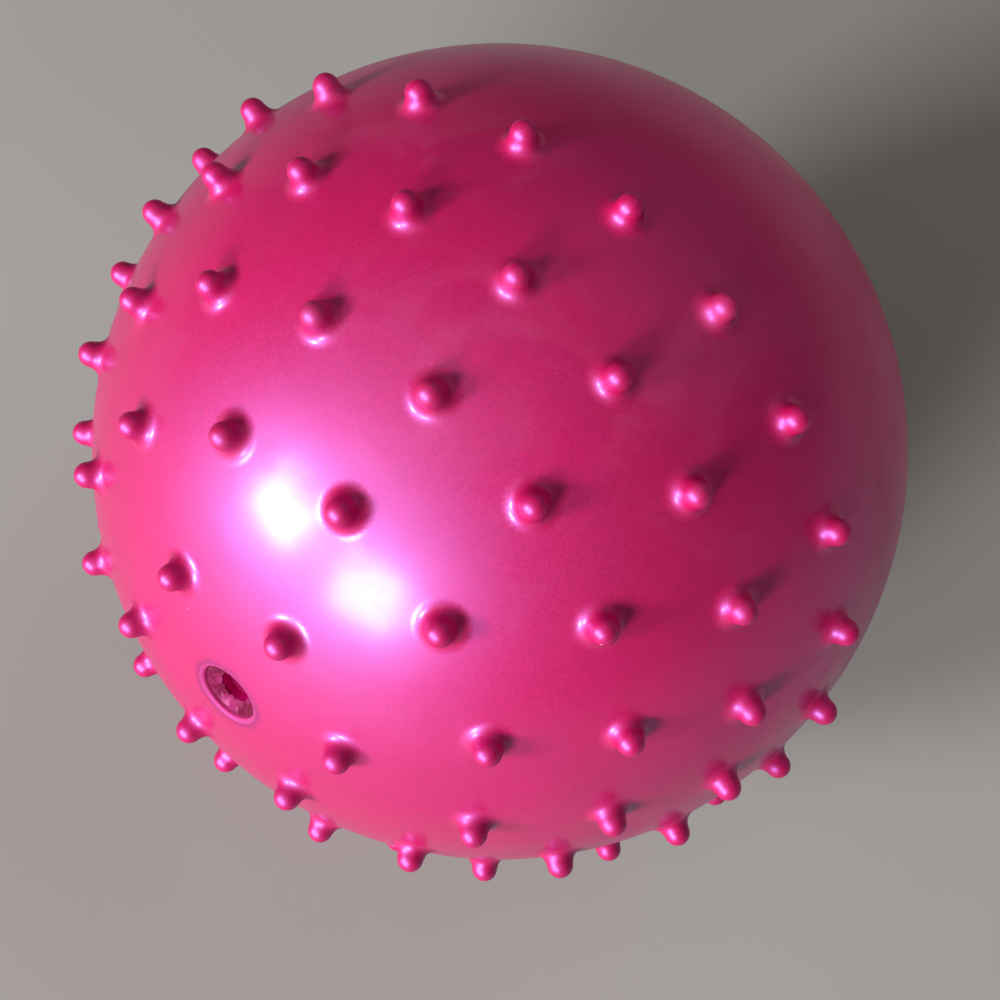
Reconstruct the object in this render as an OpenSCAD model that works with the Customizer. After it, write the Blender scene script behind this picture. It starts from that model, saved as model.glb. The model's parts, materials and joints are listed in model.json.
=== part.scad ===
// Knobbed play ball: a hollow soft vinyl skin with rings of moulded knobs around
// a sunken inflation valve, shown as it lies on a floor. Millimetres and degrees.

/* [Ball] */
// Diameter over the bare skin
ball_d = 130; // [100:1:180]
// Thickness of the moulded skin
skin_wall = 1.3; // [0.8:0.1:2]

/* [Knobs] */
// Diameter of a knob's round head
knob_d = 4; // [3:0.1:6]
// Height of a knob above the skin
knob_h = 3.9; // [3.5:0.1:6]
// Radius of the hollow that runs from a knob into the skin
knob_flare_r = 1.8; // [0.6:0.1:2]
// How far the hollow's foot dips under the skin, so that it meets it at an edge
knob_flare_dip = 0.06; // [0.04:0.01:0.1]

/* [Knob rings] */
// Knobs in each ring, counted out from the valve
ring_counts = [6, 12, 17, 21, 23]; // [3:1:26]
// Angle from the valve axis to each ring
ring_angles = [17.1, 35.7, 52.4, 68.7, 84.9]; // [15:0.1:100]
// Turn of each ring's first knob around the valve axis
ring_turns = [43.4, 24.2, 5.7, 5.7, 1.6]; // [0:0.1:60]

/* [Valve recess] */
// Diameter of the recess inside its rolled lip
recess_d = 9.5; // [9:0.1:12]
// Radius of the rolled lip
lip_r = 0.5; // [0.4:0.1:0.8]
// Depth of the seat's outer face in the recess, below the top of the skin
seat_depth = 1; // [1:0.1:2]
// Diameter of the thick collar inside the skin
collar_d = 19; // [17.5:0.5:24]
// Depth of the collar's inner face, below the top of the skin
collar_depth = 4.6; // [4:0.1:7]

/* [Valve seat] */
// Glue gap between the seat's head and the recess
bond_gap = 0.05; // [0.02:0.01:0.1]
// Width of the flat edge around the dish
dish_edge = 0.15; // [0.1:0.05:0.6]
// Slope of the dish
dish_slope = 18; // [15:1:30]
// Creases that run down the dish into the throat
crease_count = 14; // [0:1:18]
// Radius of a crease
crease_r = 0.4; // [0.3:0.05:0.45]
// Depth of a crease at the throat
crease_depth = 0.3; // [0.1:0.05:0.35]
// Bore that holds the plug
throat_d = 5; // [3.6:0.1:5.2]
// Diameter of the flange glued under the collar
flange_d = 17; // [15.5:0.5:17]
// Thickness of the flange
flange_t = 1.2; // [0.8:0.1:2]
// Wall of the sleeve around the plug
sleeve_wall = 2; // [1.2:0.1:2.5]
// Bore at the sleeve's inner end, for the plug's nose
nose_bore_d = 3; // [2.4:0.1:3.4]
// Length of that bore
nose_bore_l = 3.9; // [2.5:0.1:6]
// Cut off the sleeve's inner edge
sleeve_chamfer = 0.8; // [0.3:0.1:1]

/* [Valve plug] */
// Gap between the plug and its bore, all round
plug_gap = 0.05; // [0.02:0.01:0.08]
// Depth of the plug's outer face, below the bottom edge of the dish
plug_set = 1.6; // [1.4:0.1:3]
// Length of the plug's thick part
plug_l = 6.8; // [6:0.1:9]
// Length of the plug's nose
nose_l = 3; // [2:0.1:3.8]
// Diameter of the passage for a pump needle
needle_d = 2; // [1.6:0.1:2.4]
// Length of the straight part of the passage
needle_l = 6.6; // [3:0.1:7]
// Depth of the cone that leads a needle in
lead_in = 0.5; // [0.2:0.1:0.8]

/* [How the ball lies] */
// Angle from straight up to the valve axis
valve_lean = 69; // [0:0.5:110]
// Compass turn of the valve axis, anticlockwise from +X
valve_turn = 230; // [0:1:359]

/* [Hidden] */
$fn = 96;
ball_r = ball_d / 2;
knob_r = knob_d / 2;
// The hollow is limited by the straight part of the knob
flare_r = min(knob_flare_r, knob_h - knob_r);
flare_foot_r = knob_r + flare_r;
recess_r = recess_d / 2;
lip_centre_r = recess_r + lip_r;
// The lip's crest stands this share of its radius proud, so that it meets the skin at an edge
lip_proud_share = 0.02;
seat_z = ball_r - seat_depth;
collar_z = ball_r - collar_depth;
seat_head_r = recess_r - bond_gap;
throat_r = throat_d / 2;
dish_r = seat_head_r - dish_edge;
dish_bottom_z = seat_z - (dish_r - throat_r) * tan(dish_slope);
plug_top_z = dish_bottom_z - plug_set;
plug_stop_z = plug_top_z - plug_l;
sleeve_end_z = plug_stop_z - nose_bore_l;
// A crease starts in the throat and runs out of the dish this share of the way to its edge
crease_reach_share = 0.9;
crease_run = (dish_r - throat_r) * crease_reach_share / cos(dish_slope);
crease_slope = dish_slope + atan(crease_depth / crease_run);
sleeve_r = throat_r + sleeve_wall;
plug_r = throat_r - plug_gap;
nose_r = nose_bore_d / 2 - plug_gap;
needle_r = needle_d / 2;
overrun = ball_r;

function sphere_z(r, from_axis) = sqrt(r * r - from_axis * from_axis);

// Puts a shape drawn around an upright valve axis where the ball lies
module as_it_lies() {
    translate([0, 0, ball_r]) rotate([0, valve_lean, valve_turn]) children();
}

// Half outline of a knob: domed head, stem and hollow foot. The skin's surface is at y = 0
module knob_outline() {
    foot_y = sphere_z(ball_r, flare_foot_r) - ball_r - knob_flare_dip;
    sink_y = -skin_wall / 2;
    translate([0, knob_h - knob_r]) intersection() {
        circle(r = knob_r);
        square([knob_r, knob_r]);
    }
    translate([0, sink_y]) square([knob_r, knob_h - knob_r - sink_y]);
    difference() {
        translate([0, sink_y]) square([flare_foot_r, foot_y + flare_r - sink_y]);
        translate([flare_foot_r, foot_y + flare_r]) circle(r = flare_r);
    }
}

module knob() {
    rotate_extrude() knob_outline();
}

module knob_rings() {
    for (ring = [0 : len(ring_counts) - 1], place = [0 : ring_counts[ring] - 1])
        rotate([0, ring_angles[ring], ring_turns[ring] + place * 360 / ring_counts[ring]])
            translate([0, 0, ball_r]) knob();
}

// The air space, less the collar that thickens the skin around the valve
module air_space() {
    difference() {
        sphere(r = ball_r - skin_wall);
        translate([0, 0, collar_z]) cylinder(d = collar_d, h = collar_depth);
    }
}

// Rolled lip and recess, cut through the skin and its collar
module valve_opening() {
    lip_y = sphere_z(ball_r, lip_centre_r) - lip_r * (1 - lip_proud_share);
    rotate_extrude() {
        translate([0, collar_z - skin_wall]) square([recess_r, overrun]);
        difference() {
            translate([0, lip_y]) square([lip_centre_r, overrun]);
            translate([lip_centre_r, lip_y]) circle(r = lip_r);
        }
    }
}

module skin() {
    color([0.85, 0.07, 0.42]) as_it_lies() difference() {
        union() {
            sphere(r = ball_r);
            knob_rings();
        }
        air_space();
        valve_opening();
    }
}

// Head, flange and sleeve, turned around the plug's bore
module valve_seat() {
    head = [[throat_r, dish_bottom_z], [dish_r, seat_z], [seat_head_r, seat_z], [seat_head_r, collar_z]];
    flange = [[flange_d / 2, collar_z], [flange_d / 2, collar_z - flange_t], [sleeve_r, collar_z - flange_t]];
    sleeve = [[sleeve_r, sleeve_end_z + sleeve_chamfer], [sleeve_r - sleeve_chamfer, sleeve_end_z]];
    bore = [[nose_bore_d / 2, sleeve_end_z], [nose_bore_d / 2, plug_stop_z], [throat_r, plug_stop_z]];
    color([0.62, 0.04, 0.28]) as_it_lies() difference() {
        rotate_extrude() polygon(concat(head, flange, sleeve, bore));
        for (place = [0 : 1 : crease_count - 1]) rotate([0, 0, place * 360 / crease_count]) crease();
    }
}

// Cuts deepest at the throat, and runs out of the dish before its edge
module crease() {
    translate([throat_r, 0, dish_bottom_z + crease_r - crease_depth]) rotate([0, 90 - crease_slope, 0])
        translate([0, 0, -crease_r]) cylinder(r = crease_r, h = crease_run + dish_r);
}

// Soft stopper with a blind passage that a pump needle pushes through
module valve_plug() {
    cone_r = needle_r + lead_in;
    color([0.5, 0.03, 0.2]) as_it_lies() difference() {
        rotate_extrude() {
            translate([0, plug_stop_z]) square([plug_r, plug_l]);
            translate([0, plug_stop_z - nose_l + nose_r]) square([nose_r, nose_l - nose_r]);
            translate([0, plug_stop_z - nose_l + nose_r]) intersection() {
                circle(r = nose_r);
                translate([0, -nose_r]) square([nose_r, nose_r]);
            }
        }
        translate([0, 0, plug_top_z - lead_in - needle_l]) cylinder(r = needle_r, h = needle_l);
        translate([0, 0, plug_top_z - lead_in]) cylinder(r1 = needle_r, r2 = cone_r, h = lead_in);
    }
}

skin();
valve_seat();
valve_plug();
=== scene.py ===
import json
import math

import bmesh
import bpy
import numpy as np
from mathutils import Matrix, Vector
from mathutils.geometry import delaunay_2d_cdt


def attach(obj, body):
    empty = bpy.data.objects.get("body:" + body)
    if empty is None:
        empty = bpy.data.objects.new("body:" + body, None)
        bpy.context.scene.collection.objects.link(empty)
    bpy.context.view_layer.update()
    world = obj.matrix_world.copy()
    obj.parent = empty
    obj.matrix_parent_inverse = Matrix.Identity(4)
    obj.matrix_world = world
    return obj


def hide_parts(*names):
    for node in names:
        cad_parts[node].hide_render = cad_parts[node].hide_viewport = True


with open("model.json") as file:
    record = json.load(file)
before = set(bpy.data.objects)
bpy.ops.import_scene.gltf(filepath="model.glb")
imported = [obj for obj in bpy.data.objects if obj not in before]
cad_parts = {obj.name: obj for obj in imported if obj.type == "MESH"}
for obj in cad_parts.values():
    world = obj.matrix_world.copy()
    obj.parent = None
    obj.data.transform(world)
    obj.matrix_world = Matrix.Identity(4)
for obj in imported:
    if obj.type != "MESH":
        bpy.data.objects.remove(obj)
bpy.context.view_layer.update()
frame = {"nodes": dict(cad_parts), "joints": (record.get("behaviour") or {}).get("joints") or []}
print("packed model loaded:", ", ".join(sorted(frame["nodes"])))

mm = 0.001

# the ball itself: it lies on bare skin, so its centre is one radius up
ball = {
    "radius": 65 * mm,
    "wall": 1.3 * mm,
    "openSpacing": 1.7 * mm,  # between the points of the bare skin
    "clearOfMouth": 0.7,  # how many spacings those points keep off the rows around the mouth
    "clearOfKnobs": 0.75,  # and off the rows around a knob
    "airRows": 30,
    "sharpAngle": math.radians(40),
}
ballCentre = Vector((0, 0, ball["radius"]))
pull = next(j for j in frame["joints"] if j["name"] == "plug_pull")
valveAxis = Vector(pull["axis"]).normalized()
valveLean = math.acos(valveAxis.z)
valveTurn = math.atan2(valveAxis.y, valveAxis.x)
# pieces are drawn around an upright valve axis through the ball's centre, then laid down with this
asItLies = (
    Matrix.Translation(ballCentre)
    @ Matrix.Rotation(valveTurn, 4, "Z")
    @ Matrix.Rotation(valveLean, 4, "Y")
)


# node helpers

def node(tree, kind, at=(0, 0), **settings):
    n = tree.nodes.new(kind)
    n.location = at
    for name, value in settings.items():
        setattr(n, name, value)
    return n


def plug(tree, value, socket):
    # a number or colour is set on the socket, anything else is a link
    if isinstance(value, bpy.types.NodeSocket):
        tree.links.new(value, socket)
    elif value is not None:
        socket.default_value = value


def maths(tree, operation, *values, clamp=False):
    n = node(tree, "ShaderNodeMath", operation=operation, use_clamp=clamp)
    for value, socket in zip(values, n.inputs):
        plug(tree, value, socket)
    return n.outputs[0]


def addShare(tree, total, value, amount, clamp=False):
    # the total plus this much of the value
    return maths(tree, "ADD", total, maths(tree, "MULTIPLY", value, amount), clamp=clamp)


def vectors(tree, operation, *values, scale=None):
    n = node(tree, "ShaderNodeVectorMath", operation=operation)
    for value, socket in zip(values, n.inputs):
        plug(tree, value, socket)
    if scale is not None:
        plug(tree, scale, n.inputs["Scale"])
    return n.outputs["Value"] if operation in ("LENGTH", "DOT_PRODUCT") else n.outputs["Vector"]


def spread(tree, value, fromLow, fromHigh, toLow=0.0, toHigh=1.0, smooth=True):
    n = node(tree, "ShaderNodeMapRange", interpolation_type="SMOOTHSTEP" if smooth else "LINEAR")
    for given, socket in zip((value, fromLow, fromHigh, toLow, toHigh), n.inputs):
        plug(tree, given, socket)
    return n.outputs[0]


def mixColour(tree, share, first, second, blend="MIX"):
    n = node(tree, "ShaderNodeMix", data_type="RGBA", blend_type=blend)
    plug(tree, share, n.inputs[0])
    plug(tree, first, n.inputs[6])
    plug(tree, second, n.inputs[7])
    return n.outputs[2]


def tint(tree, colour, mask, amount, other):
    # the colour with this much of the other one where the mask is
    return mixColour(tree, maths(tree, "MULTIPLY", mask, amount), colour, other)


def newGroup(name, inputs, outputs):
    group = bpy.data.node_groups.new(name, "ShaderNodeTree")
    for label, kind, value in inputs:
        socket = group.interface.new_socket(label, in_out="INPUT", socket_type="NodeSocket" + kind)
        if value is not None:
            socket.default_value = value
    for label, kind in outputs:
        group.interface.new_socket(label, in_out="OUTPUT", socket_type="NodeSocket" + kind)
    return group, node(group, "NodeGroupInput").outputs, node(group, "NodeGroupOutput").inputs


def useGroup(tree, group, place, sizes):
    n = node(tree, "ShaderNodeGroup", node_tree=group)
    plug(tree, place, n.inputs["Vector"])
    for name, value in sizes.items():
        plug(tree, value, n.inputs[name])
    return n.outputs


# finish groups, shared by the materials

def pearlGrainGroup():
    group, given, result = newGroup(
        "Pearl grain",
        [("Vector", "Vector", None), ("Flake Size", "Float", 0.2 * mm), ("Seed", "Float", 0.0)],
        [("Flake", "Float"), ("Height", "Float")],
    )
    size = maths(group, "DIVIDE", 1.0, given["Flake Size"])
    moved = vectors(group, "ADD", given["Vector"], given["Seed"])
    cells = node(group, "ShaderNodeTexVoronoi", feature="F1")
    group.links.new(moved, cells.inputs["Vector"])
    group.links.new(size, cells.inputs["Scale"])
    tone = node(group, "ShaderNodeSeparateColor")
    group.links.new(cells.outputs["Color"], tone.inputs[0])
    group.links.new(tone.outputs[0], result["Flake"])
    group.links.new(tone.outputs[1], result["Height"])
    return group


def mouldedGroup():
    # soft swells of the moulded skin, its fine unevenness, and how thick the sprayed coat lies
    group, given, result = newGroup(
        "Moulded skin",
        [("Vector", "Vector", None), ("Swell Size", "Float", 18 * mm), ("Seed", "Float", 0.0)],
        [("Swell", "Float"), ("Fine", "Float"), ("Cloud", "Float")],
    )
    moved = vectors(group, "ADD", given["Vector"], given["Seed"])
    scale = maths(group, "DIVIDE", 1.0, given["Swell Size"])
    layers = (("Swell", 1.0, 2.0, 0.45), ("Fine", 9.0, 3.0, 0.6), ("Cloud", 0.8, 5.0, 0.62))
    for label, factor, detail, rough in layers:
        noise = node(group, "ShaderNodeTexNoise")
        group.links.new(moved, noise.inputs["Vector"])
        group.links.new(maths(group, "MULTIPLY", scale, factor), noise.inputs["Scale"])
        noise.inputs["Detail"].default_value = detail
        noise.inputs["Roughness"].default_value = rough
        group.links.new(noise.outputs["Fac"], result[label])
    return group


def handledGroup():
    # settled dust and the dull smudges that hands leave
    group, given, result = newGroup(
        "Handled",
        [
            ("Vector", "Vector", None), ("Speck Spacing", "Float", 9 * mm), ("Speck Size", "Float", 0.3 * mm),
            ("Smudge Size", "Float", 22 * mm), ("Seed", "Float", 0.0),
        ],
        [("Specks", "Float"), ("Smudge", "Float")],
    )
    moved = vectors(group, "ADD", given["Vector"], given["Seed"])
    cells = node(group, "ShaderNodeTexVoronoi", feature="F1")
    group.links.new(moved, cells.inputs["Vector"])
    group.links.new(maths(group, "DIVIDE", 1.0, given["Speck Spacing"]), cells.inputs["Scale"])
    away = maths(group, "MULTIPLY", cells.outputs["Distance"], given["Speck Spacing"])
    tone = node(group, "ShaderNodeSeparateColor")
    group.links.new(cells.outputs["Color"], tone.inputs[0])
    # most specks are small, and each is soft at the edge
    own = maths(group, "MULTIPLY", given["Speck Size"], maths(group, "POWER", tone.outputs[0], 3.0))
    speck = spread(group, away, maths(group, "MULTIPLY", own, 0.6), own, 1.0, 0.0)
    group.links.new(speck, result["Specks"])
    noise = node(group, "ShaderNodeTexNoise")
    group.links.new(moved, noise.inputs["Vector"])
    group.links.new(maths(group, "DIVIDE", 1.0, given["Smudge Size"]), noise.inputs["Scale"])
    noise.inputs["Detail"].default_value = 4.0
    noise.inputs["Distortion"].default_value = 1.2
    group.links.new(spread(group, noise.outputs["Fac"], 0.5, 0.72), result["Smudge"])
    return group


pearlGrain = pearlGrainGroup()
moulded = mouldedGroup()
handled = handledGroup()


def newMaterial(name):
    material = bpy.data.materials.new(name)
    material.use_nodes = True
    tree = material.node_tree
    shader = tree.nodes["Principled BSDF"]
    place = node(tree, "ShaderNodeTexCoord").outputs["Object"]
    return material, tree, shader, place


def setShader(shader, values):
    for name, value in values.items():
        shader.inputs[name].default_value = value


def raiseSurface(tree, shader, height):
    # a bump whose heights are in metres
    bump = node(tree, "ShaderNodeBump")
    bump.inputs["Strength"].default_value = 1.0
    bump.inputs["Distance"].default_value = 1.0
    tree.links.new(height, bump.inputs["Height"])
    tree.links.new(bump.outputs["Normal"], shader.inputs["Normal"])


def offAxis(tree, place):
    # distance off the valve's axis, along it from the ball's centre, and straight from that centre
    fromCentre = vectors(tree, "SUBTRACT", place, tuple(ballCentre))
    radial = vectors(tree, "LENGTH", fromCentre)
    along = vectors(tree, "DOT_PRODUCT", fromCentre, tuple(valveAxis))
    radialSquared = maths(tree, "MULTIPLY", radial, radial)
    alongSquared = maths(tree, "MULTIPLY", along, along)
    off = maths(tree, "SUBTRACT", radialSquared, alongSquared)
    return maths(tree, "SQRT", maths(tree, "MAXIMUM", off, 0.0)), along, radial


# pearl sprayed vinyl of the skin and its knobs

pearlVinyl = {
    "crimson": (0.49, 0.0004, 0.064, 1),
    "deepCrimson": (0.40, 0.0003, 0.042, 1),
    "rimPink": (0.42, 0.02, 0.08, 1),
    "maskedMauve": (0.25, 0.012, 0.055, 1),
    # bare vinyl inside the mouth, painted lighter than it is: painted light on the shaded recess wall
    "bareCrimsonWithPaintedLight": (0.80, 0.05, 0.24, 1),
    # colour of the dust specks, and of the film on top, which is partly a painted sheen
    "dustAndSheenColour": (0.55, 0.30, 0.42, 1),
    "shader": {
        "IOR": 2.0, "Specular IOR Level": 1.0, "Specular Tint": (0.45, 0.23, 0.86, 1),
        "Coat Roughness": 0.2, "Coat IOR": 1.5,
    },
    "grain": {"Flake Size": 0.17 * mm},
    "moulded": {"Swell Size": 17 * mm},
    "handled": {"Speck Spacing": 7 * mm, "Speck Size": 0.36 * mm},
    # how much each thing shows in the colour
    "deepShare": 0.5,
    "flakeTone": (0.86, 1.14),
    "maskedShare": 0.75,
    "rimShare": 0.6,
    "dustAndSheenShare": 0.05,
    "speckShare": 0.85,
    # where the bands around the mouth fade out, measured off the valve's axis
    "maskedFade": (5.6 * mm, 6.7 * mm),
    "maskedUneven": 1.6 * mm,
    "rimFade": (5.2 * mm, 5.5 * mm),
    "bareAndLitFade": (4.78 * mm, 4.98 * mm),
    # where the height over the bare skin makes it a knob
    "knobFade": (0.05 * mm, 1.2 * mm),
    # roughness, and what adds to it
    "roughness": 0.47,
    "cloudRough": 0.05,
    "smudgeRough": 0.05,
    "flakeRough": 0.05,
    "rimRough": 0.25,
    "knobRough": -0.02,
    # clear coat, what takes from it, and the share that is left on the knobs
    "coatWeight": 0.5,
    "smudgeCoat": 0.2,
    "maskedCoat": 0.5,
    "knobCoat": 0.03,
    # heights of the bump
    "swellHeight": 0.16 * mm,
    "fineHeight": 0.008 * mm,
    "flakeHeight": 0.0012 * mm,
    "speckHeight": 0.05 * mm,
}


def aroundMouth(tree, nearTop, away, fade):
    # 1 inside the fade, 0 outside it, on the valve's side of the ball alone
    return maths(tree, "MULTIPLY", nearTop, spread(tree, away, *fade, 1.0, 0.0))


def pearlVinylMaterial():
    material, tree, shader, place = newMaterial("pearlVinyl")
    fromAxis, alongValve, radial = offAxis(tree, place)
    grain = useGroup(tree, pearlGrain, place, pearlVinyl["grain"])
    body = useGroup(tree, moulded, place, pearlVinyl["moulded"])
    use = useGroup(tree, handled, place, pearlVinyl["handled"])

    # the coat clouds a little, and the flakes give it its grain
    cloud = spread(tree, body["Cloud"], 0.35, 0.65)
    colour = tint(tree, pearlVinyl["crimson"], cloud, pearlVinyl["deepShare"], pearlVinyl["deepCrimson"])
    flakeTone = spread(tree, grain["Flake"], 0.0, 1.0, *pearlVinyl["flakeTone"], smooth=False)
    colour = mixColour(tree, 1.0, colour, flakeTone, "MULTIPLY")

    # around the mouth the coat was masked off: mauve band, paler rim, and bare vinyl inside, painted brighter than
    # it is as painted light on the shaded recess wall
    nearTop = spread(tree, alongValve, 0.0, 10 * mm)
    uneven = addShare(tree, fromAxis, maths(tree, "SUBTRACT", body["Fine"], 0.5), pearlVinyl["maskedUneven"])
    masked = aroundMouth(tree, nearTop, uneven, pearlVinyl["maskedFade"])
    colour = tint(tree, colour, masked, pearlVinyl["maskedShare"], pearlVinyl["maskedMauve"])
    rim = aroundMouth(tree, nearTop, fromAxis, pearlVinyl["rimFade"])
    colour = tint(tree, colour, rim, pearlVinyl["rimShare"], pearlVinyl["rimPink"])
    # the bare vinyl inside is painted brighter, painted light where the recess wall lies in shade
    inside = aroundMouth(tree, nearTop, fromAxis, pearlVinyl["bareAndLitFade"])
    colour = mixColour(tree, inside, colour, pearlVinyl["bareCrimsonWithPaintedLight"])

    # a pale film lies on top where the smudge noise is, partly dust and partly a painted sheen, and dust specks
    # lie all over
    upright = node(tree, "ShaderNodeSeparateXYZ")
    tree.links.new(place, upright.inputs[0])
    upperDustAndSheen = spread(tree, upright.outputs[2], 85 * mm, 125 * mm)
    dustAndSheenFilm = maths(tree, "MULTIPLY", upperDustAndSheen, use["Smudge"])
    colour = tint(tree, colour, dustAndSheenFilm, pearlVinyl["dustAndSheenShare"], pearlVinyl["dustAndSheenColour"])
    colour = tint(tree, colour, use["Specks"], pearlVinyl["speckShare"], pearlVinyl["dustAndSheenColour"])
    tree.links.new(colour, shader.inputs["Base Color"])

    # smudges dull the gloss, the rim has lost some of it, the knobs are a touch smoother
    rough = addShare(tree, pearlVinyl["roughness"], maths(tree, "SUBTRACT", cloud, 0.5), pearlVinyl["cloudRough"])
    rough = addShare(tree, rough, use["Smudge"], pearlVinyl["smudgeRough"])
    rough = addShare(tree, rough, maths(tree, "SUBTRACT", grain["Flake"], 0.5), pearlVinyl["flakeRough"])
    rough = addShare(tree, rough, rim, pearlVinyl["rimRough"])
    onKnob = spread(tree, radial, *(ball["radius"] + height for height in pearlVinyl["knobFade"]))
    rough = addShare(tree, rough, onKnob, pearlVinyl["knobRough"], clamp=True)
    tree.links.new(rough, shader.inputs["Roughness"])

    # the clear coat is thin on smudges and in the masked band, and the knobs have next to none
    smudgeLoss = maths(tree, "MULTIPLY", use["Smudge"], pearlVinyl["smudgeCoat"])
    coat = maths(tree, "SUBTRACT", pearlVinyl["coatWeight"], smudgeLoss)
    maskedLoss = maths(tree, "MULTIPLY", masked, pearlVinyl["maskedCoat"])
    coat = maths(tree, "SUBTRACT", coat, maskedLoss, clamp=True)
    shareLeft = spread(tree, onKnob, 0.0, 1.0, 1.0, pearlVinyl["knobCoat"], smooth=False)
    tree.links.new(maths(tree, "MULTIPLY", coat, shareLeft), shader.inputs["Coat Weight"])
    setShader(shader, pearlVinyl["shader"])

    # slow swells bend the highlights, the grain breaks them up
    height = maths(tree, "MULTIPLY", body["Swell"], pearlVinyl["swellHeight"])
    height = addShare(tree, height, body["Fine"], pearlVinyl["fineHeight"])
    height = addShare(tree, height, grain["Height"], pearlVinyl["flakeHeight"])
    height = addShare(tree, height, use["Specks"], pearlVinyl["speckHeight"])
    raiseSurface(tree, shader, height)
    return material


# clear crimson vinyl of the valve seat

seatVinyl = {
    "crimson": (0.11, 0.0003, 0.022, 1),
    "mauve": (0.25, 0.014, 0.09, 1),
    # painted light: the throat's brighter colour stands in for light on its shaded walls
    "throat": (0.60, 0.002, 0.17, 1),
    "throatPaintedLightFade": (62.85 * mm, 63.15 * mm),  # along the valve's axis, from the ball's centre
    "shader": {"IOR": 1.45, "Specular Tint": (1.0, 0.35, 0.7, 1)},
    "moulded": {"Swell Size": 3 * mm, "Seed": 3.0},
    "handled": {"Speck Spacing": 2.2 * mm, "Speck Size": 0.16 * mm, "Smudge Size": 4 * mm, "Seed": 5.0},
    "speckShare": 0.5,
    "roughness": 0.19,
    "smudgeRough": 0.18,
    "swellHeight": 0.12 * mm,
    "fineHeight": 0.02 * mm,
}


def seatVinylMaterial():
    material, tree, shader, place = newMaterial("seatVinyl")
    body = useGroup(tree, moulded, place, seatVinyl["moulded"])
    use = useGroup(tree, handled, place, seatVinyl["handled"])
    cloud = spread(tree, body["Cloud"], 0.42, 0.6)
    colour = mixColour(tree, cloud, seatVinyl["crimson"], seatVinyl["mauve"])
    # the throat is painted brighter: painted light standing in for light on its shaded walls
    alongValve = offAxis(tree, place)[1]
    throat = spread(tree, alongValve, *seatVinyl["throatPaintedLightFade"], 1.0, 0.0)
    colour = mixColour(tree, throat, colour, seatVinyl["throat"])
    colour = tint(tree, colour, use["Specks"], seatVinyl["speckShare"], pearlVinyl["dustAndSheenColour"])
    tree.links.new(colour, shader.inputs["Base Color"])
    rough = addShare(tree, seatVinyl["roughness"], use["Smudge"], seatVinyl["smudgeRough"], clamp=True)
    tree.links.new(rough, shader.inputs["Roughness"])
    setShader(shader, seatVinyl["shader"])
    height = maths(tree, "MULTIPLY", body["Swell"], seatVinyl["swellHeight"])
    height = addShare(tree, height, body["Fine"], seatVinyl["fineHeight"])
    raiseSurface(tree, shader, height)
    return material


# soft dark vinyl of the plug

plugVinyl = {
    "crimson": (0.14, 0.0005, 0.026, 1),
    "worn": (0.19, 0.004, 0.045, 1),
    "shader": {"Specular IOR Level": 0.2, "Specular Tint": (1.0, 0.35, 0.7, 1)},
    "moulded": {"Swell Size": 2.5 * mm, "Seed": 7.0},
    "handled": {"Speck Spacing": 2 * mm, "Speck Size": 0.14 * mm, "Smudge Size": 3 * mm, "Seed": 9.0},
    "speckShare": 0.4,
    "roughness": 0.42,
    "smudgeRough": 0.15,
    "fineHeight": 0.02 * mm,
}


def plugVinylMaterial():
    material, tree, shader, place = newMaterial("plugVinyl")
    body = useGroup(tree, moulded, place, plugVinyl["moulded"])
    use = useGroup(tree, handled, place, plugVinyl["handled"])
    cloud = spread(tree, body["Cloud"], 0.35, 0.7)
    colour = mixColour(tree, cloud, plugVinyl["crimson"], plugVinyl["worn"])
    colour = tint(tree, colour, use["Specks"], plugVinyl["speckShare"], pearlVinyl["dustAndSheenColour"])
    tree.links.new(colour, shader.inputs["Base Color"])
    rough = addShare(tree, plugVinyl["roughness"], use["Smudge"], plugVinyl["smudgeRough"], clamp=True)
    tree.links.new(rough, shader.inputs["Roughness"])
    setShader(shader, plugVinyl["shader"])
    raiseSurface(tree, shader, maths(tree, "MULTIPLY", body["Fine"], plugVinyl["fineHeight"]))
    return material


pearlVinylFinish = pearlVinylMaterial()
seatVinylFinish = seatVinylMaterial()
plugVinylFinish = plugVinylMaterial()
print("finishes made")


# knobs: a domed head on a short stem with a hollow foot, in five rings around the valve

knob = {
    "diameter": 4.0 * mm,
    "height": 3.9 * mm,
    "flare": 1.8 * mm,
    "sides": 24,
    "headRows": 6,
    "flareRows": 6,
    "skirtRows": (0.5 * mm, 1.25 * mm),  # past the foot, on the bare skin
    "counts": (6, 12, 17, 21, 23),
    "angles": (17.1, 35.7, 52.4, 68.7, 84.9),
    "turns": (43.4, 24.2, 5.7, 5.7, 1.6),
    "liftedSkin": 0.05 * mm,  # points no deeper than this under the bare skin are lifted
    "liftedShare": 0.9999,  # and only this far out to the foot
}


def knobPlaces():
    places = []
    for count, angle, turn in zip(knob["counts"], knob["angles"], knob["turns"]):
        flat, up = math.sin(math.radians(angle)), math.cos(math.radians(angle))
        for place in range(count):
            across = math.radians(turn) + 2 * math.pi * place / count
            places.append((flat * math.cos(across), flat * math.sin(across), up))
    return np.array(places)


def knobRows():
    # shares of the way from the knob's axis to its foot where the outline needs a row of points
    headRadius, flare = knob["diameter"] / 2, knob["flare"]
    head, stem, foot = headRadius * math.pi / 2, knob["height"] - headRadius - flare, flare * math.pi / 2
    rows = [head * i / knob["headRows"] for i in range(1, knob["headRows"] + 1)]
    rows.append(head + stem)
    rows += [head + stem + foot * i / knob["flareRows"] for i in range(1, knob["flareRows"] + 1)]
    return [row / (head + stem + foot) for row in rows]


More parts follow.
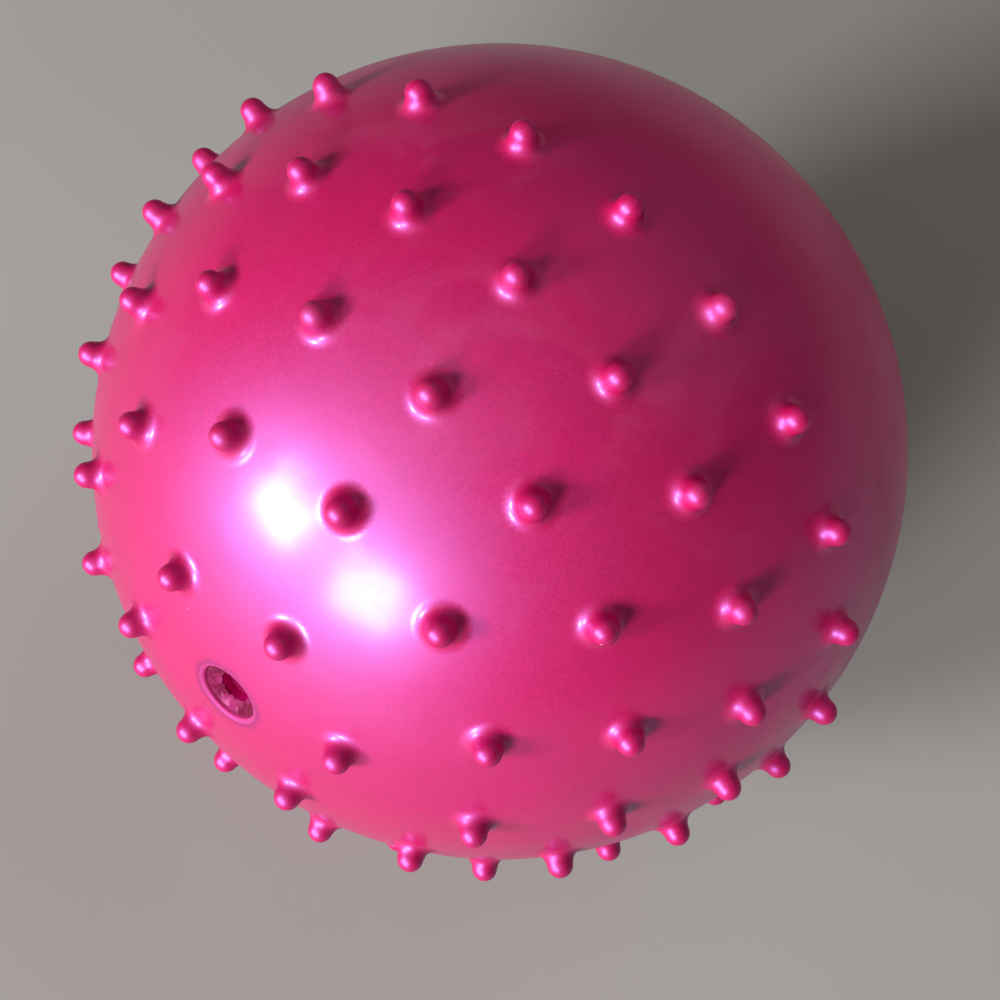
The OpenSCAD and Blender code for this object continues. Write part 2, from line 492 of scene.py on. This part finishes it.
def knobRingsTree(material):
    # lifts the points around each knob's axis to its outline, where a ring of knobs says that one stands
    tree = bpy.data.node_groups.new("Knob rings", "GeometryNodeTree")
    face = tree.interface
    face.new_socket("Geometry", in_out="INPUT", socket_type="NodeSocketGeometry")
    sizes = {
        "Ball Radius": ball["radius"],
        "Knob Diameter": knob["diameter"],
        "Knob Height": knob["height"],
        "Flare Radius": knob["flare"],
    }
    for label in sizes:
        face.new_socket(label, in_out="INPUT", socket_type="NodeSocketFloat").subtype = "DISTANCE"
    for ring in range(1, len(knob["counts"]) + 1):
        face.new_socket(f"Ring {ring} Count", in_out="INPUT", socket_type="NodeSocketInt")
        face.new_socket(f"Ring {ring} Angle", in_out="INPUT", socket_type="NodeSocketFloat").subtype = "ANGLE"
        face.new_socket(f"Ring {ring} Turn", in_out="INPUT", socket_type="NodeSocketFloat").subtype = "ANGLE"
    face.new_socket("Finish", in_out="INPUT", socket_type="NodeSocketMaterial")
    face.new_socket("Geometry", in_out="OUTPUT", socket_type="NodeSocketGeometry")
    given = node(tree, "NodeGroupInput", (-2200, 0)).outputs
    result = node(tree, "NodeGroupOutput", (1400, 0))
    radius = given["Ball Radius"]

    # the rings of knobs, one circle of points for each
    rings = node(tree, "GeometryNodeJoinGeometry", (-1300, -500))
    for ring in range(1, len(knob["counts"]) + 1):
        circle = node(tree, "GeometryNodeMeshCircle", (-1750, -250 * ring))
        tree.links.new(given[f"Ring {ring} Count"], circle.inputs["Vertices"])
        angle = given[f"Ring {ring} Angle"]
        tree.links.new(maths(tree, "MULTIPLY", radius, maths(tree, "SINE", angle)), circle.inputs["Radius"])
        lift = node(tree, "ShaderNodeCombineXYZ")
        tree.links.new(maths(tree, "MULTIPLY", radius, maths(tree, "COSINE", angle)), lift.inputs["Z"])
        spin = node(tree, "ShaderNodeCombineXYZ")
        tree.links.new(given[f"Ring {ring} Turn"], spin.inputs["Z"])
        placed = node(tree, "GeometryNodeTransform", (-1500, -250 * ring))
        tree.links.new(circle.outputs["Mesh"], placed.inputs["Geometry"])
        tree.links.new(lift.outputs[0], placed.inputs["Translation"])
        tree.links.new(spin.outputs[0], placed.inputs["Rotation"])
        tree.links.new(placed.outputs["Geometry"], rings.inputs["Geometry"])

    # each point of the skin against the axis of its nearest knob
    nearest = node(tree, "GeometryNodeProximity", (-1100, -500), target_element="POINTS")
    tree.links.new(rings.outputs["Geometry"], nearest.inputs[0])
    point = node(tree, "GeometryNodeInputPosition", (-1100, -250)).outputs[0]
    axis = vectors(tree, "NORMALIZE", nearest.outputs["Position"])
    along = vectors(tree, "DOT_PRODUCT", point, axis)
    across = vectors(tree, "SUBTRACT", point, vectors(tree, "SCALE", axis, scale=along))
    away = vectors(tree, "LENGTH", across)
    outward = vectors(tree, "NORMALIZE", across)

    # arc lengths of head, stem and foot, and how far along them this point is
    headRadius = maths(tree, "MULTIPLY", given["Knob Diameter"], 0.5)
    flare = given["Flare Radius"]
    headArc = maths(tree, "MULTIPLY", headRadius, math.pi / 2)
    stem = maths(tree, "SUBTRACT", maths(tree, "SUBTRACT", given["Knob Height"], headRadius), flare)
    footArc = maths(tree, "MULTIPLY", flare, math.pi / 2)
    whole = maths(tree, "ADD", maths(tree, "ADD", headArc, stem), footArc)
    footRadius = maths(tree, "ADD", headRadius, flare)
    share = maths(tree, "DIVIDE", away, footRadius)
    run = maths(tree, "MULTIPLY", share, whole)
    onHead = maths(tree, "MINIMUM", run, headArc)
    pastHead = maths(tree, "SUBTRACT", run, headArc)
    onStem = maths(tree, "MAXIMUM", maths(tree, "MINIMUM", pastHead, stem), 0.0)
    pastStem = maths(tree, "SUBTRACT", pastHead, stem)
    onFoot = maths(tree, "MAXIMUM", maths(tree, "MINIMUM", pastStem, footArc), 0.0)
    headTurn = maths(tree, "DIVIDE", onHead, headRadius)
    footTurn = maths(tree, "DIVIDE", onFoot, flare)

    # r is how far the outline is off the knob's axis there, h how high it is over the bare skin
    r = maths(tree, "MULTIPLY", headRadius, maths(tree, "SINE", headTurn))
    flareOut = maths(tree, "SUBTRACT", 1.0, maths(tree, "COSINE", footTurn))
    r = maths(tree, "ADD", r, maths(tree, "MULTIPLY", flare, flareOut))
    h = maths(tree, "SUBTRACT", given["Knob Height"], headRadius)
    h = maths(tree, "ADD", h, maths(tree, "MULTIPLY", headRadius, maths(tree, "COSINE", headTurn)))
    h = maths(tree, "SUBTRACT", h, onStem)
    h = maths(tree, "SUBTRACT", h, maths(tree, "MULTIPLY", flare, maths(tree, "SINE", footTurn)))
    skinSquared = maths(tree, "SUBTRACT", maths(tree, "MULTIPLY", radius, radius), maths(tree, "MULTIPLY", r, r))
    skinHeight = maths(tree, "SQRT", skinSquared)
    raised = vectors(tree, "SCALE", axis, scale=maths(tree, "ADD", skinHeight, h))
    lifted = vectors(tree, "ADD", raised, vectors(tree, "SCALE", outward, scale=r))

    # only the outer surface is lifted, not the inside of the wall
    skinDepth = maths(tree, "SUBTRACT", radius, knob["liftedSkin"])
    outside = maths(tree, "GREATER_THAN", vectors(tree, "LENGTH", point), skinDepth)
    chosen = maths(tree, "MULTIPLY", outside, maths(tree, "LESS_THAN", share, knob["liftedShare"]))
    move = node(tree, "GeometryNodeSetPosition", (900, 0))
    tree.links.new(given["Geometry"], move.inputs["Geometry"])
    tree.links.new(chosen, move.inputs["Selection"])
    tree.links.new(lifted, move.inputs["Position"])
    real = node(tree, "GeometryNodeRealizeInstances", (1050, 0))
    tree.links.new(move.outputs[0], real.inputs[0])
    finish = node(tree, "GeometryNodeSetMaterial", (1200, 0))
    tree.links.new(real.outputs[0], finish.inputs["Geometry"])
    tree.links.new(given["Finish"], finish.inputs["Material"])
    tree.links.new(finish.outputs[0], result.inputs[0])

    values = dict(sizes)
    for ring, (count, angle, turn) in enumerate(zip(knob["counts"], knob["angles"], knob["turns"]), 1):
        values[f"Ring {ring} Count"] = count
        values[f"Ring {ring} Angle"] = math.radians(angle)
        values[f"Ring {ring} Turn"] = math.radians(turn)
    values["Finish"] = material
    return tree, values


def makePlain(piece, tree, values):
    # runs the tree once and keeps its result as a plain mesh
    modifier = piece.modifiers.new(tree.name, "NODES")
    modifier.node_group = tree
    for item in tree.interface.items_tree:
        if item.in_out == "INPUT" and item.name in values:
            modifier[item.identifier] = values[item.name]
    bpy.context.view_layer.update()
    shape = bpy.data.meshes.new_from_object(piece.evaluated_get(bpy.context.evaluated_depsgraph_get()))
    shape.name = piece.name
    piece.modifiers.remove(modifier)
    piece.data = shape


def newObject(name, data):
    made = bpy.data.objects.new(name, data)
    bpy.context.scene.collection.objects.link(made)
    return made


def closedMesh(name, verts, faces):
    # a closed shape, with its faces turned outwards
    mesh = bpy.data.meshes.new(name)
    mesh.from_pydata(verts, [], faces)
    form = bmesh.new()
    form.from_mesh(mesh)
    bmesh.ops.recalc_face_normals(form, faces=form.faces)
    form.to_mesh(mesh)
    form.free()
    return mesh


def finishPiece(piece, body, slotName, *nodes, sharp=ball["sharpAngle"]):
    piece.data.transform(asItLies)
    piece.data.shade_smooth()
    piece.data.set_sharp_from_angle(angle=sharp)
    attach(piece, body)
    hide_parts(*nodes)
    print(piece.name, "made:", len(piece.data.vertices), "points,", len(piece.data.polygons), "faces")


# the skin: bare sphere, rolled lip and recess, collar and air space, as one closed wall

recess = {
    "diameter": 9.5 * mm,
    "lip": 0.5 * mm,
    "collarDiameter": 19 * mm,
    "collarDepth": 4.6 * mm,
    "sides": 96,
    "lipRows": 8,
    "wallRows": (1.4 * mm, 2.4 * mm),  # how deep they lie under the top of the ball
    "rows": (5.5, 5.75, 6.05, 6.4, 6.8, 7.3, 7.9, 8.6, 9.5, 10.6, 11.9),  # around the mouth, in mm
}


def around(radius, height, count, turn=0.0):
    angles = turn + 2 * np.pi * np.arange(count) / count
    return np.c_[radius * np.cos(angles), radius * np.sin(angles), np.full(count, height)]


def skinPoints():
    # rows around the mouth, rows around each knob, and an even spread between them, on a unit sphere
    radius, sides = ball["radius"], recess["sides"]
    lipCentre = recess["diameter"] / 2 + recess["lip"]
    tangent = lipCentre * radius / (radius - recess["lip"])
    points = [around(tangent / radius, math.sqrt(1 - (tangent / radius) ** 2), sides)]
    for number, row in enumerate(recess["rows"], 1):
        r = row * mm / radius
        points.append(around(r, math.sqrt(1 - r * r), sides, math.pi / sides * (number % 2)))
    lastRow = recess["rows"][-1] * mm / radius

    footRadius = (knob["diameter"] / 2 + knob["flare"]) / radius
    rows = [footRadius * row for row in knobRows()]
    rows += [footRadius + row / radius for row in knob["skirtRows"]]
    places = knobPlaces()
    for place in places:
        side = np.cross(place, (0.0, 0.0, 1.0))
        side /= np.linalg.norm(side)
        up = np.cross(place, side)
        points.append(place[None])
        for number, row in enumerate(rows):
            turns = 2 * np.pi * (np.arange(knob["sides"]) + 0.5 * (number % 2)) / knob["sides"]
            ring = np.cos(turns)[:, None] * side + np.sin(turns)[:, None] * up
            points.append(place * math.sqrt(1 - row * row) + ring * row)

    # a spiral from pole to pole, without the points too near to those rows
    spacing = ball["openSpacing"] / radius
    count = int(4 * math.pi / (spacing ** 2 * math.sqrt(3) / 2))
    number = np.arange(count)
    z = 1 - (2 * number + 1) / count
    turn = number * math.pi * (3 - math.sqrt(5))
    flat = np.sqrt(1 - z * z)
    free = np.c_[flat * np.cos(turn), flat * np.sin(turn), z]
    keep = np.hypot(free[:, 0], free[:, 1]) > lastRow + ball["clearOfMouth"] * spacing
    keep |= z < 0
    toKnob = (free @ places.T).max(axis=1)
    keep &= toKnob < math.cos(rows[-1] + ball["clearOfKnobs"] * spacing)
    points.append(free[keep])
    return np.vstack(points), tangent


def ballSkinMesh():
    radius, sides = ball["radius"], recess["sides"]
    points, tangent = skinPoints()
    # flattened from the far pole, which keeps circles round, so that flat triangles suit the sphere too
    flat = points[:, :2] / (1 + points[:, 2:])
    mouthEdges = [(i, (i + 1) % sides) for i in range(sides)]
    flatOut, _, faces, sources, _, _ = delaunay_2d_cdt([Vector(p) for p in flat], mouthEdges, [], 0, 1e-9)
    assert len(flatOut) == len(points), "points of the skin fell together"
    source = np.array([s[0] for s in sources])
    verts = points[source] * radius
    faces = np.array(faces)
    # the triangles that span the mouth go, the first points are its ring
    middle = verts[faces].mean(axis=1)
    inMouth = (np.hypot(middle[:, 0], middle[:, 1]) < tangent * 0.9995) & (middle[:, 2] > 0)
    faces = [tuple(f) for f in faces[~inMouth]]
    verts = [tuple(v) for v in verts]
    back = {int(s): i for i, s in enumerate(source)}
    mouth = [back[i] for i in range(sides)]

    # the far pole is the one point that flattening leaves out
    seen = {}
    for f in faces:
        for a, b in zip(f, f[1:] + f[:1]):
            seen[frozenset((a, b))] = seen.get(frozenset((a, b)), 0) + 1
    inMouthRing = set(mouth)
    pole = len(verts)
    verts.append((0.0, 0.0, -radius))
    for edge, times in seen.items():
        if times == 1 and not edge <= inMouthRing:
            a, b = edge
            faces.append((a, b, pole))

    # from the lip down the recess, along the collar and round the air space
    lip, recessRadius = recess["lip"], recess["diameter"] / 2
    lipCentre = recessRadius + lip
    lipHeight = math.sqrt((radius - lip) ** 2 - lipCentre ** 2)
    start = math.atan2(lipHeight, lipCentre)
    outline = []
    for row in range(1, recess["lipRows"] + 1):
        turn = start + (math.pi - start) * row / recess["lipRows"]
        outline.append((lipCentre + lip * math.cos(turn), lipHeight + lip * math.sin(turn)))
    outline += [(recessRadius, radius - depth) for depth in recess["wallRows"]]
    collar = recess["collarDiameter"] / 2
    collarHeight = radius - recess["collarDepth"]
    outline += [(recessRadius, collarHeight), (collar, collarHeight)]
    inner = radius - ball["wall"]
    airTurns = np.linspace(math.asin(collar / inner), math.pi, ball["airRows"])[:-1]
    outline += [(inner * math.sin(turn), inner * math.cos(turn)) for turn in airTurns]
    previous = mouth
    for r, z in outline:
        ring = list(range(len(verts), len(verts) + sides))
        verts += [tuple(v) for v in around(r, z, sides)]
        for i in range(sides):
            j = (i + 1) % sides
            faces.append((previous[i], previous[j], ring[j], ring[i]))
        previous = ring
    last = len(verts)
    verts.append((0.0, 0.0, -inner))
    faces += [(previous[i], previous[(i + 1) % sides], last) for i in range(sides)]
    return closedMesh("ballSkin", verts, faces)


ballSkin = newObject("ballSkin", ballSkinMesh())
makePlain(ballSkin, *knobRingsTree(pearlVinylFinish))
finishPiece(ballSkin, "ball", "pearl_vinyl", "skin")


# valve seat: puckered funnel in the mouth, flange under the collar, sleeve around the plug

seat = {
    "headRadius": 4.7 * mm,
    "headRound": 0.06 * mm,
    "depth": 1.0 * mm,
    "dishRadius": 4.55 * mm,
    "dishSlope": math.radians(18),
    "dishSag": 0.10 * mm,
    "throatRadius": 2.5 * mm,
    "throatEdge": 0.55 * mm,  # how far under the dish the throat's rounded edge ends
    "throatEvened": 1.2 * mm,  # and where the folds have run out
    "flangeRadius": 8.5 * mm,
    "flangeThickness": 1.2 * mm,
    "flangeFootRound": 0.15 * mm,
    "flangeTopRound": 0.1 * mm,
    "sleeveRadius": 4.5 * mm,
    "sleeveFillet": 0.2 * mm,
    "sleeveChamfer": 0.8 * mm,
    "plugStop": 54.9339 * mm,
    "stopRow": 0.3 * mm,
    "noseBoreRadius": 1.5 * mm,
    "noseBoreLength": 3.9 * mm,
    "sides": 168,
    "dishRows": 16,
    "folds": 14,
    "foldDepth": 0.3 * mm,
    "foldShift": 0.22,  # of the way to the next fold
    "foldDepths": (0.55, 1.0),
    "foldStart": (0.05, 0.4),  # share of the way to the throat
    "foldLean": 0.12,
    "foldWidth": (0.11, 0.07),  # at the edge, and what the way to the throat adds
    "foldWidths": (0.8, 1.15),
    "foldGrowth": 0.8,
    "foldInThroat": 0.5,  # share of the folds' depth at the throat's edge
    "seed": 12,
    "sharpAngle": math.radians(50),
}


def foldDrop(share, turns):
    # how far the folds sink the dish at this share of the way from its edge to the throat
    chance = np.random.default_rng(seat["seed"])
    shift, lean, (width, widening) = seat["foldShift"], seat["foldLean"], seat["foldWidth"]
    drop = np.zeros_like(turns)
    for number in range(seat["folds"]):
        middle = 2 * math.pi * (number + chance.uniform(-shift, shift)) / seat["folds"]
        depth = seat["foldDepth"] * chance.uniform(*seat["foldDepths"])
        start = chance.uniform(*seat["foldStart"])
        leaning = chance.uniform(-lean, lean)
        wide = (width + widening * share) * chance.uniform(*seat["foldWidths"])
        gap = np.angle(np.exp(1j * (turns - middle - leaning * (1 - share))))
        grown = np.clip((share - start) / (1 - start), 0, 1) ** seat["foldGrowth"]
        drop = np.maximum(drop, depth * grown * np.exp(-(gap / wide) ** 2))
    return drop


def valveSeatMesh():
    sides, throat, flange, sleeve = seat["sides"], seat["throatRadius"], seat["flangeRadius"], seat["sleeveRadius"]
    turns = 2 * np.pi * np.arange(sides) / sides
    top = ball["radius"] - seat["depth"]
    run = seat["dishRadius"] - throat
    slope = math.tan(seat["dishSlope"])
    bottom = top - run * slope
    rows = []
    # the dish, from its flat edge to the throat, rounded over into it
    for row in range(seat["dishRows"] + 1):
        share = row / seat["dishRows"]
        sag = seat["dishSag"] * math.sin(math.pi * share)
        rows.append((seat["dishRadius"] - run * share, top - run * share * slope - sag - foldDrop(share, turns)))
    rows.append((throat, bottom - seat["throatEdge"] - seat["foldInThroat"] * foldDrop(1.0, turns)))
    rows.append((throat, bottom - seat["throatEvened"]))

    # down the throat to the plug's stop, round the sleeve and the flange, and up the head
    stop = seat["plugStop"]
    end = stop - seat["noseBoreLength"]
    collarHeight = ball["radius"] - recess["collarDepth"]
    flangeFoot = collarHeight - seat["flangeThickness"]
    chamfer, fillet = seat["sleeveChamfer"], seat["sleeveFillet"]
    footRound, topRound = seat["flangeFootRound"], seat["flangeTopRound"]
    inside = [
        (throat, stop + seat["stopRow"]), (throat, stop),
        (seat["noseBoreRadius"], stop), (seat["noseBoreRadius"], end),
        (sleeve - chamfer, end), (sleeve, end + chamfer),
        (sleeve, flangeFoot - fillet), (sleeve + fillet, flangeFoot),
        (flange - footRound, flangeFoot), (flange, flangeFoot + footRound),
        (flange, collarHeight - topRound), (flange - topRound, collarHeight),
        (seat["headRadius"], collarHeight), (seat["headRadius"], top - seat["headRound"]),
        (seat["headRadius"] - seat["headRound"], top),
    ]
    rows += [(r, np.full(sides, z)) for r, z in inside]
    verts, faces = [], []
    for r, z in rows:
        ring = around(r, 0.0, sides)
        ring[:, 2] = z
        verts += [tuple(v) for v in ring]
    for row in range(len(rows)):
        below = (row + 1) % len(rows)
        for i in range(sides):
            j = (i + 1) % sides
            faces.append((row * sides + i, row * sides + j, below * sides + j, below * sides + i))
    mesh = closedMesh("valveSeat", verts, faces)
    mesh.materials.append(seatVinylFinish)
    return mesh


valveSeat = newObject("valveSeat", valveSeatMesh())
finishPiece(valveSeat, "ball", "clear_crimson_vinyl", "valve_seat", sharp=seat["sharpAngle"])

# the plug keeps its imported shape
valvePlug = frame["nodes"]["valve_plug"]
for slot in valvePlug.material_slots:
    slot.material = plugVinylFinish
print("plug finished")


# plain floor, two window lamps low on the left, and two wide soft lamps

studio = {
    "floorRadius": 1.2,
    "floorColour": (0.30, 0.288, 0.272, 1),
    "floorShader": {"Roughness": 0.7, "Specular IOR Level": 0.2},
    "floorClouds": 6.0,
    "floorTone": (0.97, 1.03),
    "worldColour": (1.0, 0.99, 0.98, 1),
    "worldStrength": 0.025,
    "backdrop": 0.10,
    "lamps": (
        {
            "name": "windowFront", "from": (-0.53, -0.76, 0.376), "away": 2.0,
            "size": (0.58, 0.58), "power": 42.0, "mirrored": True,
        },
        {
            "name": "windowSide", "from": (-0.84, -0.376, 0.392), "away": 2.2,
            "size": (0.57, 0.57), "power": 56.0, "mirrored": True,
        },
        {
            "name": "ceiling", "from": (-0.4, -0.22, 0.89), "away": 2.0,
            "size": (1.5, 1.5), "power": 3.2, "mirrored": True,
        },
        {
            "name": "roomFill", "from": (0.60, 0.45, 0.66), "away": 2.0,
            "size": (1.8, 1.8), "power": 15.0, "mirrored": False,
        },
    ),
}


def floorMaterial():
    material, tree, shader, place = newMaterial("paleFloor")
    noise = node(tree, "ShaderNodeTexNoise")
    tree.links.new(place, noise.inputs["Vector"])
    noise.inputs["Scale"].default_value = studio["floorClouds"]
    noise.inputs["Detail"].default_value = 4.0
    tone = spread(tree, noise.outputs["Fac"], 0.3, 0.7, *studio["floorTone"])
    tree.links.new(mixColour(tree, 1.0, studio["floorColour"], tone, "MULTIPLY"), shader.inputs["Base Color"])
    setShader(shader, studio["floorShader"])
    return material


form = bmesh.new()
bmesh.ops.create_circle(form, cap_ends=True, segments=96, radius=studio["floorRadius"])
floorMesh = bpy.data.meshes.new("floor")
form.to_mesh(floorMesh)
form.free()
floorMesh.materials.append(floorMaterial())
floor = newObject("floor", floorMesh)

for lamp in studio["lamps"]:
    light = bpy.data.lights.new(lamp["name"], "AREA")
    light.shape = "RECTANGLE"
    light.size, light.size_y = lamp["size"]
    light.energy = lamp["power"]
    stand = newObject(lamp["name"], light)
    direction = Vector(lamp["from"]).normalized()
    stand.location = ballCentre + direction * lamp["away"]
    stand.rotation_euler = direction.to_track_quat("Z", "Y").to_euler()
    stand.visible_glossy = lamp["mirrored"]

# past the floor's edge the camera and reflections see the backdrop, which is brighter than the world's light
world = bpy.data.worlds.new("softRoom")
bpy.context.scene.world = world
world.use_nodes = True
sky = world.node_tree
background = sky.nodes["Background"]
background.inputs["Color"].default_value = studio["worldColour"]
rays = node(sky, "ShaderNodeLightPath").outputs
shown = maths(sky, "MAXIMUM", rays["Is Camera Ray"], rays["Is Glossy Ray"])
shown = maths(sky, "MAXIMUM", shown, rays["Is Transmission Ray"])
strength = spread(sky, shown, 0.0, 1.0, studio["worldStrength"], studio["backdrop"], smooth=False)
sky.links.new(strength, background.inputs["Strength"])

# camera as the photograph was taken: looking steeply down, the ball a little above the middle
view = {"elevation": 68.0, "distance": 0.299, "lowered": 1.451, "sensor": 36.0, "focal": 65.95}
elevation = math.radians(view["elevation"])
cameraData = bpy.data.cameras.new("camera")
cameraData.sensor_width = view["sensor"]
cameraData.lens = view["focal"]
camera = newObject("camera", cameraData)
camera.location = ballCentre + view["distance"] * Vector((0, -math.cos(elevation), math.sin(elevation)))
camera.rotation_euler = (math.pi / 2 - elevation - math.radians(view["lowered"]), 0, 0)
bpy.context.scene.camera = camera
bpy.context.scene.view_settings.view_transform = "Standard"
print("light and camera set")
